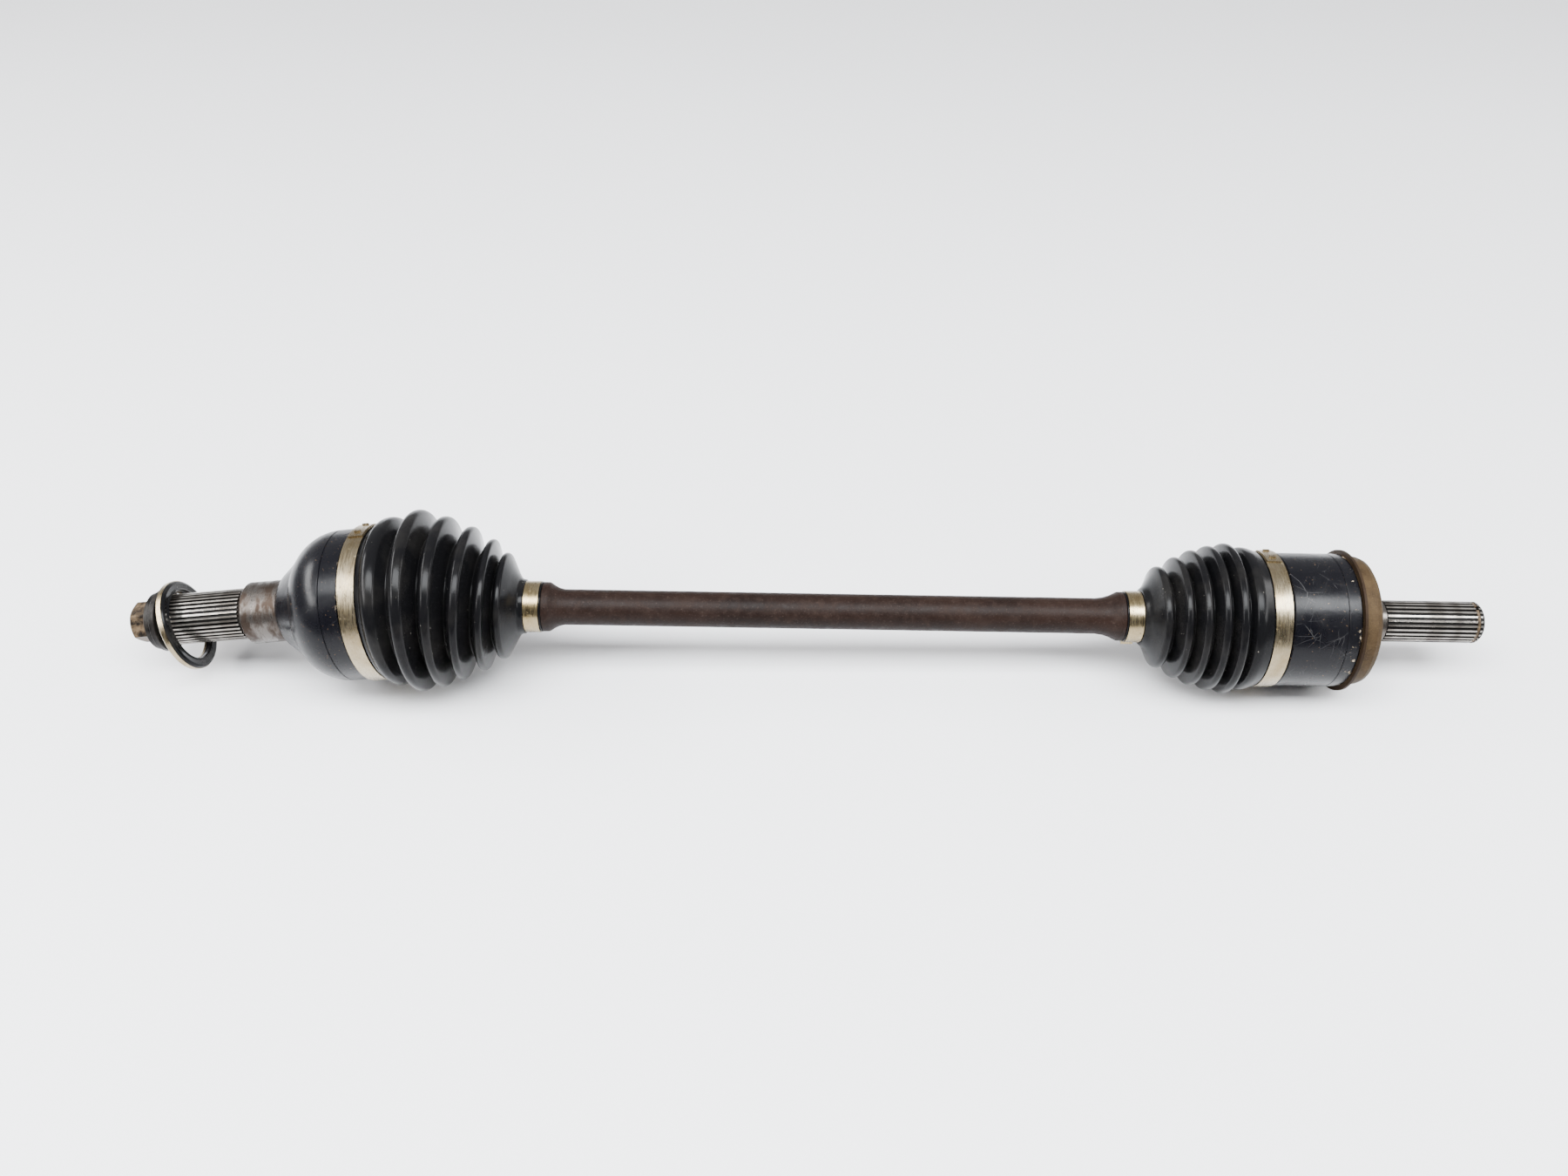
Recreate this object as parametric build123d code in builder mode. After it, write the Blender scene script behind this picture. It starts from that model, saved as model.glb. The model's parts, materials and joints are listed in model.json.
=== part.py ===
from build123d import *
from math import cos, pi, radians, sin, sqrt
import os

# Front drive axle of an all-terrain vehicle: a bar with a ball joint at each end.
# +X runs along the bar from the hub end to the gearbox end, +Z is up, millimetres.
# The origin is the middle of the seal journal on the gearbox end's stub.
# The hub end hangs a little, as it does when the axle lies on a bench.

# ---------- driving dimensions ----------
OUTER_X = -577.0            # centre of the outer (hub end) joint
INNER_X = -48.0             # centre of the inner (gearbox end) joint
DROOP = 8.0                 # degrees that the hub end hangs below the bar's line
BALL_COUNT = 6
RUNNING = 0.3               # clearance between a cage and the spheres it slides on

BAR_R = 10.25
SEAT_R = 12.0               # where the races are pressed on to the bar
BOOT_SEAT_R = 12.2

# outer joint, measured from its centre
OUTER_BALL_R = 8.0
OUTER_PITCH_R = 29.5        # ball centres
OUTER_TRACK_R = 9.2
OUTER_RACE_R = 27.3
OUTER_CAGE_R = 31.9
OUTER_CAGE_HALF = 13.0
OUTER_RACE_HALF = 12.5

# inner joint, measured from its centre
INNER_BALL_R = 7.0
INNER_PITCH_R = 23.5
INNER_TRACK_R = 8.0
INNER_RACE_R = 21.5
INNER_CAGE_R = 25.6
INNER_CAGE_HALF = 11.5
INNER_RACE_HALF = 11.0

# bell and its stub, measured from the outer joint's centre along the stub's axis
BELL_R = 43.3
BELL_DOME_R = 27.0          # rounding between the cone and the rim
BELL_DOME_X = (-31.0, -9.0)
BELL_GROOVE_X = -8.3
BELL_RIM_X = 18.0
BELL_BOOT_SEAT_R = 41.0
BELL_BOOT_SEAT_X = 2.0
HUB_SEAT_R = 17.75
HUB_SEAT_X = (-66.5, -45.6)
HUB_SPLINE_X = (-118.0, -70.0)
HUB_SPLINE_TEETH = 36
HUB_SPLINE_R = 14.75
HUB_SPLINE_ROOT_R = 13.3
HUB_THREAD_R = 7.0

# hub bolt and washers
WASHER_THICK = 3.4
SPRING_WASHER_THICK = 4.4
FLAT_WASHER_R = 18.0
SPRING_WASHER_R = 16.5
BOLT_FLANGE_R = 13.8
BOLT_FLANGE_THICK = 1.8
BOLT_HEAD_FLATS = 21.0
BOLT_HEAD_THICK = 9.5
BOLT_LENGTH = 35.0

# loose seal ring
RING_X = -108.6
RING_DROP = 3.8             # how far its centre hangs below the stub's axis
RING_LEAN = 17.9            # degrees
RING_TURN = 27.6            # degrees from upright to the direction it leans in
RING_OUTER_R = 26.8
RING_PLATE_BORE_R = 20.1
RING_RUBBER_BORE_R = 20.3

# inner housing and its stub, measured from the origin
HOUSING_R = 38.0
HOUSING_RIM_X = -75.0
HOUSING_BACK_X = -20.8
HOUSING_FLOOR_X = -20.0
HOUSING_BOOT_SEAT_R = 36.2
HOUSING_BOOT_SEAT_END = -58.0
JOURNAL_R = 12.2
JOURNAL_HALF = 4.0
STUB_SPLINE_X = (4.8, 60.0)
STUB_SPLINE_TEETH = 27
STUB_SPLINE_R = 11.9
STUB_SPLINE_ROOT_R = 10.7
STUB_CLIP_X = 55.5

# boots and clamps
BOOT_WALL = 2.4             # measured across the axis, so less through a steep fold
CLAMP_THICK = 0.75
LARGE_CLAMP_WIDTH = 9.5
SMALL_CLAMP_WIDTH = 8.4
BOOT_GAP = 0.2              # between a boot's collar and the joint or clamp that rides on another body
OUTER_CLAMP_R = 43.7
INNER_CLAMP_R = 38.0
SMALL_CLAMP_R = 14.0
SHOULDER_R = 14.2           # the bar's shoulders beside the boots
OUTER_NECK_X = 91.5         # from the outer joint's centre
OUTER_LIP_X = 102.6
INNER_NECK_X = -132.8
INNER_LIP_X = -143.0
# each fold as (place along the boot from collar to neck, radius), ridge and valley in turn
OUTER_FOLDS = (
    (0.025, 48.2), (0.095, 42.0), (0.204, 52.6), (0.293, 41.0), (0.373, 49.4), (0.463, 36.5),
    (0.550, 44.5), (0.630, 31.5), (0.714, 38.4), (0.782, 26.0), (0.846, 30.8), (0.970, 15.5),
)
INNER_FOLDS = (
    (-77.0, 40.6), (-81.0, 36.5), (-86.0, 42.6), (-90.3, 35.0), (-95.0, 41.0), (-99.6, 32.5),
    (-104.5, 38.3), (-108.8, 29.0), (-113.4, 34.2), (-118.6, 24.0), (-124.8, 29.2), (-127.6, 20.0),
)

# ---------- planes: local x runs along a piece's own axis, local y points up ----------
BAR = Plane.XZ
OUTER = Plane(origin=(OUTER_X, 0, 0), x_dir=(1, 0, 0), z_dir=(0, -1, 0))
INNER = Plane(origin=(INNER_X, 0, 0), x_dir=(1, 0, 0), z_dir=(0, -1, 0))

os.makedirs("parts", exist_ok=True)


def tilted(plane, angle):
    """The same plane turned about its own z axis."""
    x_dir = plane.x_dir * cos(radians(angle)) + plane.y_dir * sin(radians(angle))
    return Plane(origin=plane.origin, x_dir=x_dir, z_dir=plane.z_dir)


HALFWAY = tilted(OUTER, DROOP / 2)
STUB = tilted(OUTER, DROOP)


def finish(builder, name):
    """Label a finished piece and write it out."""
    builder.part.label = name
    export_step(builder.part, f"parts/{name}.step")


def point_on(plane, along, up=0.0):
    return plane.origin + plane.x_dir * along + plane.y_dir * up


def across(plane, along):
    """A plane square to the piece's axis; its local x is +Y and its local y is up."""
    return Plane(origin=point_on(plane, along), x_dir=(0, 1, 0), z_dir=plane.x_dir)


def turn(plane, outline, mode=Mode.ADD):
    """Turn a closed outline of (along, radius) points about the plane's x axis."""
    with BuildSketch(plane) as profile:
        with BuildLine():
            Polyline(*outline, close=True)
        make_face()
    revolve(profile.sketch, axis=Axis(plane.origin, plane.x_dir), mode=mode)


def ring(plane, start, end, inner_r, outer_r, mode=Mode.ADD):
    outline = [(start, inner_r), (start, outer_r), (end, outer_r), (end, inner_r)]
    turn(plane, outline, mode)


def teeth(plane, start, end, count, root_r, tip_r):
    """Straight spline teeth, each a little narrower at its tip."""
    root_half = 0.30 * 2 * pi * root_r / count
    tip_half = 0.20 * 2 * pi * tip_r / count
    inside_r = root_r - 0.5
    with BuildSketch(across(plane, start)) as section:
        with PolarLocations(0, count):
            Polygon(
                (inside_r, -root_half), (tip_r, -tip_half), (tip_r, tip_half), (inside_r, root_half),
                align=None,
            )
    extrude(section.sketch, amount=end - start)


def ball_angle(index):
    """Balls sit every 60 degrees, the first at the top."""
    return 90 + index * 360 / BALL_COUNT


def outward(plane, angle):
    """Unit vector from the axis towards a ball's place."""
    return Vector(0, 1, 0) * cos(radians(angle)) + plane.y_dir * sin(radians(angle))


def cut_curved_tracks(plane, pitch_r, track_r):
    """Cut the curved ball tracks, arcs about the joint's centre."""
    reach = 38.0
    for index in range(BALL_COUNT):
        out = outward(plane, ball_angle(index))
        meridian = Plane(origin=plane.origin, x_dir=plane.x_dir, z_dir=plane.x_dir.cross(out))
        begin = tilted(meridian, -reach)
        centre = begin.origin + begin.y_dir * pitch_r
        with BuildSketch(Plane(origin=centre, x_dir=begin.z_dir, z_dir=begin.x_dir)) as section:
            Circle(track_r)
        revolve(
            section.sketch,
            axis=Axis(plane.origin, meridian.z_dir),
            revolution_arc=2 * reach,
            mode=Mode.SUBTRACT,
        )


def spherical_band(plane, half_width, inner_r, outer_r):
    """A ring between two spheres, cut off square at both sides."""
    with BuildSketch(plane) as profile:
        with BuildLine():
            top = ThreePointArc(
                (-half_width, sqrt(outer_r**2 - half_width**2)),
                (0, outer_r),
                (half_width, sqrt(outer_r**2 - half_width**2)),
            )
            low = ThreePointArc(
                (-half_width, sqrt(inner_r**2 - half_width**2)),
                (0, inner_r),
                (half_width, sqrt(inner_r**2 - half_width**2)),
            )
            Line(top @ 0, low @ 0)
            Line(top @ 1, low @ 1)
        make_face()
    revolve(profile.sketch, axis=Axis(plane.origin, plane.x_dir))


def make_cage(name, plane, half_width, inner_r, outer_r, ball_r):
    with BuildPart() as cage:
        spherical_band(plane, half_width, inner_r, outer_r)
        for index in range(BALL_COUNT):
            out = outward(plane, ball_angle(index))
            with BuildSketch(Plane(origin=plane.origin, x_dir=plane.x_dir, z_dir=out)) as window:
                RectangleRounded(2 * ball_r + 0.3, 2 * ball_r + 2.6, 3.0)
            extrude(window.sketch, amount=outer_r + 1, mode=Mode.SUBTRACT)
    finish(cage, name)


def make_race(name, plane, half_width, sphere_r, pitch_r, track_r):
    with BuildPart() as race:
        edge_r = sqrt(sphere_r**2 - half_width**2)
        with BuildSketch(plane) as profile:
            with BuildLine():
                crown = ThreePointArc((-half_width, edge_r), (0, sphere_r), (half_width, edge_r))
                Polyline(crown @ 1, (half_width, SEAT_R), (-half_width, SEAT_R), crown @ 0)
            make_face()
        revolve(profile.sketch, axis=Axis(plane.origin, plane.x_dir))
        cut_curved_tracks(plane, pitch_r, track_r)
    finish(race, name)


def make_circlip(name, plane, along, inner_r, outer_r, thick):
    """A split ring with a gap at the top."""
    with BuildPart() as clip:
        ring(plane, along, along + thick, inner_r, outer_r)
        with BuildSketch(across(plane, along)) as gap:
            with Locations((0, outer_r)):
                Rectangle(3.0, outer_r)
        extrude(gap.sketch, amount=thick, mode=Mode.SUBTRACT)
    finish(clip, name)


def make_balls(prefix, plane, pitch_r, ball_r):
    for index in range(BALL_COUNT):
        with BuildPart() as ball:
            with Locations(plane.origin + outward(plane, ball_angle(index)) * pitch_r):
                Sphere(ball_r)
        finish(ball, f"{prefix}_{index + 1}")


def make_large_clamp(name, plane, start, inner_r):
    """A flat band whose end laps over itself and is held by two pressed hooks."""
    with BuildPart() as clamp:
        ring(plane, start, start + LARGE_CLAMP_WIDTH, inner_r, inner_r + CLAMP_THICK)
        for angle in range(-78, -50, 2):
            spot = outward(plane, -angle)
            seat = plane.origin + plane.x_dir * (start + LARGE_CLAMP_WIDTH / 2)
            seat = seat + spot * (inner_r + CLAMP_THICK / 2)
            with BuildSketch(Plane(origin=seat, x_dir=plane.x_dir, z_dir=spot)) as lap:
                Rectangle(LARGE_CLAMP_WIDTH - 1.2, 2.2)
            extrude(lap.sketch, amount=CLAMP_THICK / 2 + 0.7)
        for angle in (-73, -57):
            spot = outward(plane, -angle)
            seat = plane.origin + plane.x_dir * (start + LARGE_CLAMP_WIDTH / 2)
            seat = seat + spot * (inner_r + CLAMP_THICK)
            with BuildSketch(Plane(origin=seat, x_dir=plane.x_dir, z_dir=spot)) as hook:
                RectangleRounded(3.6, 1.8, 0.5)
            extrude(hook.sketch, amount=1.7)
    finish(clamp, name)


def make_small_clamp(name, plane, start, inner_r, ear_angle):
    """A narrow band closed by one pinched ear at the given angle, counted from +Y towards up."""
    with BuildPart() as clamp:
        ring(plane, start, start + SMALL_CLAMP_WIDTH, inner_r, inner_r + CLAMP_THICK)
        with BuildSketch(across(plane, start + 0.8)) as ear:
            with Locations(Location((0, 0), ear_angle)):
                with Locations((inner_r + 2.2, 0)):
                    Rectangle(4.0, 5.2)
                with Locations((inner_r + 2.2, 0)):
                    Rectangle(1.8, 2.6, mode=Mode.SUBTRACT)
        extrude(ear.sketch, amount=SMALL_CLAMP_WIDTH - 1.6)
        ring(plane, start - 1, start + SMALL_CLAMP_WIDTH + 1, 0, inner_r, mode=Mode.SUBTRACT)
    finish(clamp, name)


def make_boot(name, sections):
    """A bellows through circles, each (plane, outer radius, inner radius)."""
    with BuildPart() as boot:
        for plane, outer_r, inner_r in sections:
            with BuildSketch(plane):
                Circle(outer_r)
        loft(ruled=True)
        for plane, outer_r, inner_r in sections:
            with BuildSketch(plane):
                Circle(inner_r)
        loft(ruled=True, mode=Mode.SUBTRACT)
    finish(boot, name)


# ---------- the bar ----------
def outer_at(offset):
    return OUTER_X + offset


def inner_at(offset):
    return INNER_X + offset


with BuildPart() as shaft:
    turn(BAR, [
        (outer_at(-16.5), 0), (outer_at(-16.5), 10.8), (outer_at(-15.5), SEAT_R),
        (outer_at(-14.2), SEAT_R), (outer_at(-14.2), 10.9), (outer_at(-12.8), 10.9),
        (outer_at(-12.8), SEAT_R), (outer_at(12.7), SEAT_R), (outer_at(12.7), 13.4),
        (outer_at(16), 13.4), (outer_at(21), 11), (outer_at(86), 11),
        (outer_at(88), BOOT_SEAT_R), (outer_at(OUTER_LIP_X), BOOT_SEAT_R),
        (outer_at(OUTER_LIP_X), SHOULDER_R - 0.4), (outer_at(OUTER_LIP_X + 0.4), SHOULDER_R),
        (outer_at(OUTER_LIP_X + 3.2), SHOULDER_R), (outer_at(OUTER_LIP_X + 4.2), SHOULDER_R - 0.4),
        (outer_at(OUTER_LIP_X + 6.5), 12.2), (outer_at(OUTER_LIP_X + 9), 11.0),
        (outer_at(OUTER_LIP_X + 12), BAR_R),
        (INNER_LIP_X - 15.5, BAR_R), (INNER_LIP_X - 11, 10.9), (INNER_LIP_X - 7.5, 12.0),
        (INNER_LIP_X - 5, 13.2), (INNER_LIP_X - 3.8, SHOULDER_R - 0.4), (INNER_LIP_X - 3, SHOULDER_R - 0.1),
        (INNER_LIP_X - 0.4, SHOULDER_R - 0.1), (INNER_LIP_X, SHOULDER_R - 0.5), (INNER_LIP_X, BOOT_SEAT_R),
        (INNER_NECK_X + 1, BOOT_SEAT_R), (INNER_NECK_X + 4, 11), (inner_at(-19), 11),
        (inner_at(-14), 13), (inner_at(-11.2), 13), (inner_at(-11.2), SEAT_R),
        (inner_at(11.3), SEAT_R), (inner_at(11.3), 10.9), (inner_at(12.7), 10.9),
        (inner_at(12.7), SEAT_R), (inner_at(13.3), SEAT_R), (inner_at(14.2), 10.8),
        (inner_at(14.2), 0),
    ])
finish(shaft, "shaft")

# ---------- outer joint ----------
def dome_at(along):
    """Point of the bell's rounded back, an arc that ends level at the bell's full radius."""
    return (along, BELL_R - BELL_DOME_R + sqrt(BELL_DOME_R**2 - (along - BELL_DOME_X[1]) ** 2))


with BuildPart() as outer_bell:
    dome_start = dome_at(BELL_DOME_X[0])
    dome_mid = dome_at(-20.0)
    dome_end = (BELL_DOME_X[1], BELL_R)
    cavity_r = OUTER_CAGE_R + RUNNING
    lead_in = (BELL_RIM_X - 2, sqrt(cavity_r**2 - (BELL_RIM_X - 2) ** 2))
    with BuildSketch(STUB) as bell_profile:
        with BuildLine():
            Polyline(
                (HUB_SPLINE_X[0], 0), (HUB_SPLINE_X[0], HUB_SPLINE_ROOT_R),
                (HUB_SPLINE_X[1], HUB_SPLINE_ROOT_R), (HUB_SEAT_X[0] - 1.4, 15.2),
                (HUB_SEAT_X[0] - 1.2, 16.6), (HUB_SEAT_X[0], HUB_SEAT_R),
                (HUB_SEAT_X[1], HUB_SEAT_R), (-44.9, 18.3), (-44.2, 20.0), (-42.6, 21.8),
                (BELL_DOME_X[0] - 0.5, dome_start[1] - 1.0), dome_start,
            )
            ThreePointArc(dome_start, dome_mid, dome_end)
            Polyline(
                dome_end, (BELL_GROOVE_X - 0.4, BELL_R), (BELL_GROOVE_X, BELL_R - 0.5),
                (BELL_GROOVE_X + 0.4, BELL_R),
                (BELL_BOOT_SEAT_X, BELL_R), (BELL_BOOT_SEAT_X, BELL_BOOT_SEAT_R),
                (BELL_RIM_X - 0.8, BELL_BOOT_SEAT_R), (BELL_RIM_X, BELL_BOOT_SEAT_R - 0.8),
                (BELL_RIM_X, lead_in[1] + 1), lead_in,
            )
            ThreePointArc(lead_in, (-cavity_r * sin(pi / 4), cavity_r * cos(pi / 4)), (-cavity_r, 0))
            Line((-cavity_r, 0), (HUB_SPLINE_X[0], 0))
        make_face()
    revolve(bell_profile.sketch, axis=Axis(STUB.origin, STUB.x_dir))
    cut_curved_tracks(STUB, OUTER_PITCH_R, OUTER_TRACK_R)
    teeth(STUB, *HUB_SPLINE_X, HUB_SPLINE_TEETH, HUB_SPLINE_ROOT_R, HUB_SPLINE_R)
    tip_x = HUB_SPLINE_X[0]
    turn(STUB, [(tip_x, HUB_SPLINE_ROOT_R), (tip_x, 16), (tip_x + 1.6, 16), (tip_x + 1.6, HUB_SPLINE_R)],
         mode=Mode.SUBTRACT)
    ring(STUB, tip_x, tip_x + BOLT_LENGTH, 0, HUB_THREAD_R, mode=Mode.SUBTRACT)
finish(outer_bell, "outer_bell")

make_cage("outer_cage", HALFWAY, OUTER_CAGE_HALF, OUTER_RACE_R + RUNNING, OUTER_CAGE_R, OUTER_BALL_R)
make_balls("outer_ball", HALFWAY, OUTER_PITCH_R, OUTER_BALL_R)
make_race("outer_race", OUTER, OUTER_RACE_HALF, OUTER_RACE_R, OUTER_PITCH_R, OUTER_TRACK_R)
make_circlip("outer_race_circlip", OUTER, -14.2, 10.9, 13.6, 1.4)

# ---------- hub bolt, washers and loose seal ring ----------
flat_washer_x = HUB_SPLINE_X[0] - WASHER_THICK
spring_washer_x = flat_washer_x - SPRING_WASHER_THICK
flange_x = spring_washer_x - BOLT_FLANGE_THICK
head_x = flange_x - BOLT_HEAD_THICK

with BuildPart() as hub_flat_washer:
    ring(STUB, flat_washer_x, HUB_SPLINE_X[0], HUB_THREAD_R + 0.4, FLAT_WASHER_R)
    chamfer(hub_flat_washer.edges().filter_by(GeomType.CIRCLE).group_by(SortBy.RADIUS)[-1], 0.4)
finish(hub_flat_washer, "hub_flat_washer")

with BuildPart() as hub_spring_washer:
    rim = SPRING_WASHER_R
    turn(STUB, [
        (spring_washer_x, HUB_THREAD_R + 0.4), (spring_washer_x, rim - 3), (spring_washer_x + 0.9, rim),
        (flat_washer_x, rim), (flat_washer_x, rim - 2.5), (flat_washer_x - 1, HUB_THREAD_R + 0.4),
    ])
finish(hub_spring_washer, "hub_spring_washer")

with BuildPart() as hub_bolt:
    with BuildSketch(across(STUB, head_x)) as hexagon:
        RegularPolygon(BOLT_HEAD_FLATS / 2, 6, major_radius=False)
    extrude(hexagon.sketch, amount=BOLT_HEAD_THICK)
    corner_r = BOLT_HEAD_FLATS / sqrt(3)
    turn(STUB, [
        (head_x, 0), (head_x, BOLT_HEAD_FLATS / 2 - 0.6), (head_x + 1.4, corner_r + 0.3),
        (flange_x, corner_r + 0.3), (flange_x, 0),
    ], mode=Mode.INTERSECT)
    turn(STUB, [
        (flange_x - 0.6, 0), (flange_x - 0.6, corner_r - 0.6), (flange_x + 0.6, BOLT_FLANGE_R - 0.4),
        (flange_x + 1.0, BOLT_FLANGE_R), (spring_washer_x, BOLT_FLANGE_R), (spring_washer_x, 6.9),
        (spring_washer_x + BOLT_LENGTH, 6.9), (spring_washer_x + BOLT_LENGTH + 1, 5.9),
        (spring_washer_x + BOLT_LENGTH + 1, 0),
    ])
    ring(STUB, head_x, head_x + 0.8, 0, 6.5, mode=Mode.SUBTRACT)
finish(hub_bolt, "hub_bolt")

lean_side = STUB.y_dir * cos(radians(RING_TURN)) + Vector(0, 1, 0) * sin(radians(RING_TURN))
ring_normal = Vector(1, 0, 0) * cos(radians(RING_LEAN)) + lean_side * sin(radians(RING_LEAN))
ring_centre = point_on(STUB, RING_X) - lean_side * RING_DROP
RING = Plane(origin=ring_centre, x_dir=ring_normal, z_dir=ring_normal.cross(lean_side))

with BuildPart() as seal_ring_plate:
    turn(RING, [
        (-2.6, RING_PLATE_BORE_R), (-2.6, RING_OUTER_R - 0.8), (-2.0, RING_OUTER_R - 0.2),
        (0.6, RING_OUTER_R - 0.2), (0.6, RING_OUTER_R - 1.2), (-1.2, RING_OUTER_R - 1.2),
        (-1.2, RING_PLATE_BORE_R),
    ])
finish(seal_ring_plate, "seal_ring_plate")

with BuildPart() as seal_ring_rubber:
    turn(RING, [
        (-1.2, RING_RUBBER_BORE_R), (-1.2, RING_OUTER_R - 1.2), (0.6, RING_OUTER_R - 1.2),
        (0.6, RING_OUTER_R - 0.5), (1.6, RING_OUTER_R - 0.9), (2.2, RING_OUTER_R - 2.2),
        (1.7, RING_RUBBER_BORE_R + 1.6), (2.2, RING_RUBBER_BORE_R + 0.5), (1.2, RING_RUBBER_BORE_R),
    ])
finish(seal_ring_rubber, "seal_ring_rubber")

# ---------- inner joint ----------
with BuildPart() as inner_housing:
    bore_r = INNER_CAGE_R + RUNNING
    turn(BAR, [
        (HOUSING_FLOOR_X, 0), (HOUSING_FLOOR_X, bore_r - 3), (HOUSING_FLOOR_X - 3, bore_r),
        (HOUSING_RIM_X + 3.2, bore_r), (HOUSING_RIM_X + 3.2, bore_r + 1), (HOUSING_RIM_X + 1.2, bore_r + 1),
        (HOUSING_RIM_X + 1.2, bore_r), (HOUSING_RIM_X, bore_r + 1.2),
        (HOUSING_RIM_X, HOUSING_BOOT_SEAT_R - 0.8), (HOUSING_RIM_X + 0.8, HOUSING_BOOT_SEAT_R),
        (HOUSING_BOOT_SEAT_END, HOUSING_BOOT_SEAT_R), (HOUSING_BOOT_SEAT_END, HOUSING_R - 0.6),
        (HOUSING_BOOT_SEAT_END + 0.6, HOUSING_R), (-28.6, HOUSING_R), (-28.2, HOUSING_R - 0.4),
        (-27.8, HOUSING_R), (HOUSING_BACK_X - 0.8, HOUSING_R), (HOUSING_BACK_X, HOUSING_R - 0.8),
        (HOUSING_BACK_X, 35.2), (-12.5, 35.2), (-11.5, 34.2), (-11.5, 17.0), (-10.2, 14.4),
        (-7.4, 13.0), (-JOURNAL_HALF, JOURNAL_R), (JOURNAL_HALF, JOURNAL_R),
        (JOURNAL_HALF + 0.8, STUB_SPLINE_ROOT_R), (STUB_CLIP_X, STUB_SPLINE_ROOT_R),
        (STUB_SPLINE_X[1] - 0.2, STUB_SPLINE_ROOT_R), (STUB_SPLINE_X[1], STUB_SPLINE_ROOT_R - 0.4),
        (STUB_SPLINE_X[1], 3.0), (STUB_SPLINE_X[1] - 4.0, 0),
    ])
    for index in range(BALL_COUNT):
        out = outward(INNER, ball_angle(index))
        with BuildSketch(across(BAR, HOUSING_RIM_X - 1)) as track:
            with Locations((out.Y * INNER_PITCH_R, out.Z * INNER_PITCH_R)):
                Circle(INNER_TRACK_R)
        extrude(track.sketch, amount=HOUSING_FLOOR_X - HOUSING_RIM_X - 1, mode=Mode.SUBTRACT)
    teeth(BAR, *STUB_SPLINE_X, STUB_SPLINE_TEETH, STUB_SPLINE_ROOT_R, STUB_SPLINE_R)
    tip_x = STUB_SPLINE_X[1]
    turn(BAR, [(tip_x - 1.8, STUB_SPLINE_R), (tip_x - 1.8, 13), (tip_x, 13), (tip_x, 10.4)],
         mode=Mode.SUBTRACT)
    ring(BAR, STUB_CLIP_X, STUB_CLIP_X + 1.8, 10.2, 13, mode=Mode.SUBTRACT)
finish(inner_housing, "inner_housing")

make_circlip("inner_stub_circlip", BAR, STUB_CLIP_X + 0.2, 10.2, 11.6, 1.4)
make_circlip("inner_wire_ring", BAR, HOUSING_RIM_X + 1.4, INNER_CAGE_R - 0.4, INNER_CAGE_R + 1.2, 1.6)

with BuildPart() as dust_shield:
    turn(BAR, [
        (-20.6, 35.2), (-20.6, 40.3), (-19.2, 40.3), (-19.0, 37.8), (-17.6, 36.8), (-12.0, 36.6),
        (-9.6, 35.6), (-8.2, 33.6), (-7.8, 31.0), (-8.0, 17.0), (-10.4, 17.0), (-10.4, 31.4),
        (-10.8, 33.2), (-11.4, 34.6), (-12.4, 35.2),
    ])
finish(dust_shield, "dust_shield")

make_cage("inner_cage", INNER, INNER_CAGE_HALF, INNER_RACE_R + RUNNING, INNER_CAGE_R, INNER_BALL_R)
make_balls("inner_ball", INNER, INNER_PITCH_R, INNER_BALL_R)
make_race("inner_race", INNER, INNER_RACE_HALF, INNER_RACE_R, INNER_PITCH_R, INNER_TRACK_R)
make_circlip("inner_race_circlip", INNER, 11.3, 10.9, 13.6, 1.4)

# ---------- boots and their clamps ----------
# The outer boot's line leaves the bell along the stub's axis and meets the bar along its own.
boot_start = point_on(STUB, BELL_RIM_X)
boot_end = point_on(OUTER, OUTER_NECK_X)
reach = (boot_end - boot_start).length / 3
boot_line = Bezier(
    boot_start, boot_start + STUB.x_dir * reach, boot_end - OUTER.x_dir * reach, boot_end,
)


def along_boot(fraction):
    """A plane square to the outer boot's line."""
    return Plane(origin=boot_line @ fraction, x_dir=(0, 1, 0), z_dir=boot_line % fraction)


outer_sections = [
    (across(STUB, BELL_BOOT_SEAT_X + 0.3), OUTER_CLAMP_R - BOOT_GAP, BELL_BOOT_SEAT_R + BOOT_GAP),
    (across(STUB, BELL_RIM_X - 0.6), OUTER_CLAMP_R - BOOT_GAP, BELL_BOOT_SEAT_R + BOOT_GAP),
]
for place, radius in OUTER_FOLDS:
    outer_sections.append((along_boot(place), radius, radius - BOOT_WALL))
outer_sections.append((across(OUTER, OUTER_NECK_X), SMALL_CLAMP_R, BOOT_SEAT_R))
outer_sections.append((across(OUTER, OUTER_LIP_X), SMALL_CLAMP_R, BOOT_SEAT_R))
make_boot("outer_boot", outer_sections)

inner_sections = [
    (across(BAR, HOUSING_BOOT_SEAT_END - 0.3), INNER_CLAMP_R - BOOT_GAP, HOUSING_BOOT_SEAT_R + BOOT_GAP),
    (across(BAR, HOUSING_RIM_X + 0.4), INNER_CLAMP_R - BOOT_GAP, HOUSING_BOOT_SEAT_R + BOOT_GAP),
]
for place, radius in INNER_FOLDS:
    inner_sections.append((across(BAR, place), radius, radius - BOOT_WALL))
inner_sections.append((across(BAR, INNER_NECK_X), SMALL_CLAMP_R, BOOT_SEAT_R))
inner_sections.append((across(BAR, INNER_LIP_X), SMALL_CLAMP_R, BOOT_SEAT_R))
make_boot("inner_boot", inner_sections)

make_large_clamp("outer_boot_clamp_large", STUB, 3.1, OUTER_CLAMP_R)
make_small_clamp("outer_boot_clamp_small", OUTER, OUTER_NECK_X + 1.4, SMALL_CLAMP_R, 285)
make_large_clamp("inner_boot_clamp_large", BAR, -68.6, INNER_CLAMP_R)
make_small_clamp("inner_boot_clamp_small", BAR, INNER_NECK_X - SMALL_CLAMP_WIDTH - 0.7, SMALL_CLAMP_R, 262)
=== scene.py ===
import json
import math

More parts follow.
